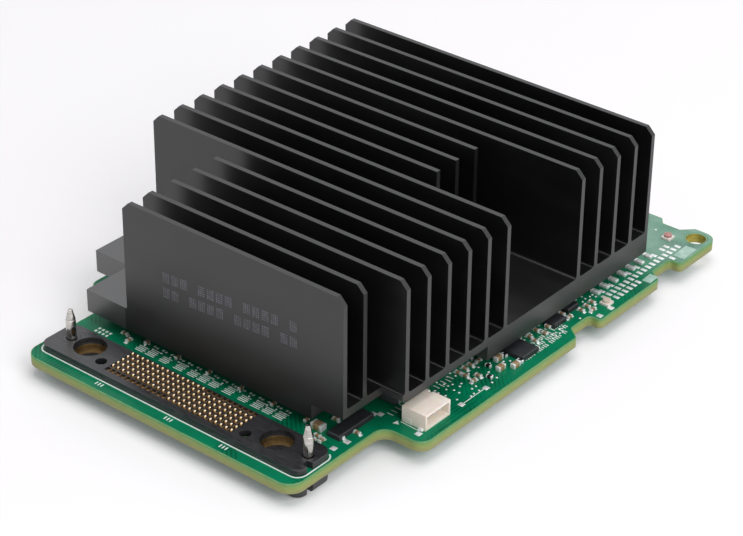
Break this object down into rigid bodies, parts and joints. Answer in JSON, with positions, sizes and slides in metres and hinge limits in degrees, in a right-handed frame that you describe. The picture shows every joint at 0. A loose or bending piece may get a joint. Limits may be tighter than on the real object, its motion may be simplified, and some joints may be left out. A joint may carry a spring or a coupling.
{
  "type": "raid controller card",
  "caption": "Mezzanine storage controller card: a stepped green circuit board under a black finned heat sink, with a contact-field connector and pointed guide pins at its narrow nose.",
  "frame": {"origin": "middle of the card's footprint, on the plane that the card rests on", "axes": "+Z from the rest plane up to the fin tips, +Y from the connector nose to the rear tab, +X to the right with the nose toward the viewer"},
  "size_m": [0.0656, 0.0944, 0.0277],
  "materials": {
    "solder_mask_green": "glossy green solder mask over glass epoxy laminate",
    "gold_plate": "gold flash over plated copper",
    "black_anodised_aluminium": "fine blasted and black anodised",
    "zinc_plated_steel": "bright zinc plate",
    "connector_polymer": "moulded glass filled polymer",
    "contact_gold": "gold plated spring bronze",
    "nickel_plated_steel": "turned and nickel plated",
    "package_laminate": "green package laminate",
    "nickel_plated_copper": "stamped and nickel plated",
    "thermal_pad": "soft grey filled silicone",
    "moulded_epoxy": "fine matt moulding",
    "pressed_ferrite": "pressed powder, matt",
    "tinned_copper": "bright tin",
    "capacitor_ceramic": "fired ceramic",
    "resistor_glaze": "dark glaze over ceramic",
    "white_polymer": "white moulded polymer",
    "clear_resin": "clear epoxy",
    "ivory_nylon": "moulded natural nylon"
  },
  "bodies": {
    "root": {"circuit_board": "solder_mask_green", "screw_hole_plating": "gold_plate", "tab_hole_plating": "gold_plate", "heat_sink": "black_anodised_aluminium", "sink_spacers": "zinc_plated_steel", "sink_screws": "zinc_plated_steel", "connector_housing": "connector_polymer", "connector_contacts": "contact_gold", "backing_plate": "connector_polymer", "guide_pins": "nickel_plated_steel", "controller_substrate": "package_laminate", "controller_lid": "nickel_plated_copper", "controller_thermal_pad": "thermal_pad", "memory_chips": "moulded_epoxy", "memory_thermal_pads": "thermal_pad", "underside_memory_chips": "moulded_epoxy", "power_inductors": "pressed_ferrite", "inductor_terminals": "tinned_copper", "regulator_chips": "moulded_epoxy", "power_stage_chip": "moulded_epoxy", "ceramic_capacitors": "capacitor_ceramic", "chip_resistors": "resistor_glaze", "component_end_caps": "tinned_copper", "indicator_bases": "white_polymer", "indicator_lenses": "clear_resin", "header_housing": "ivory_nylon", "header_pins": "tinned_copper", "header_solder_tabs": "tinned_copper"}
  },
  "joints": []
}
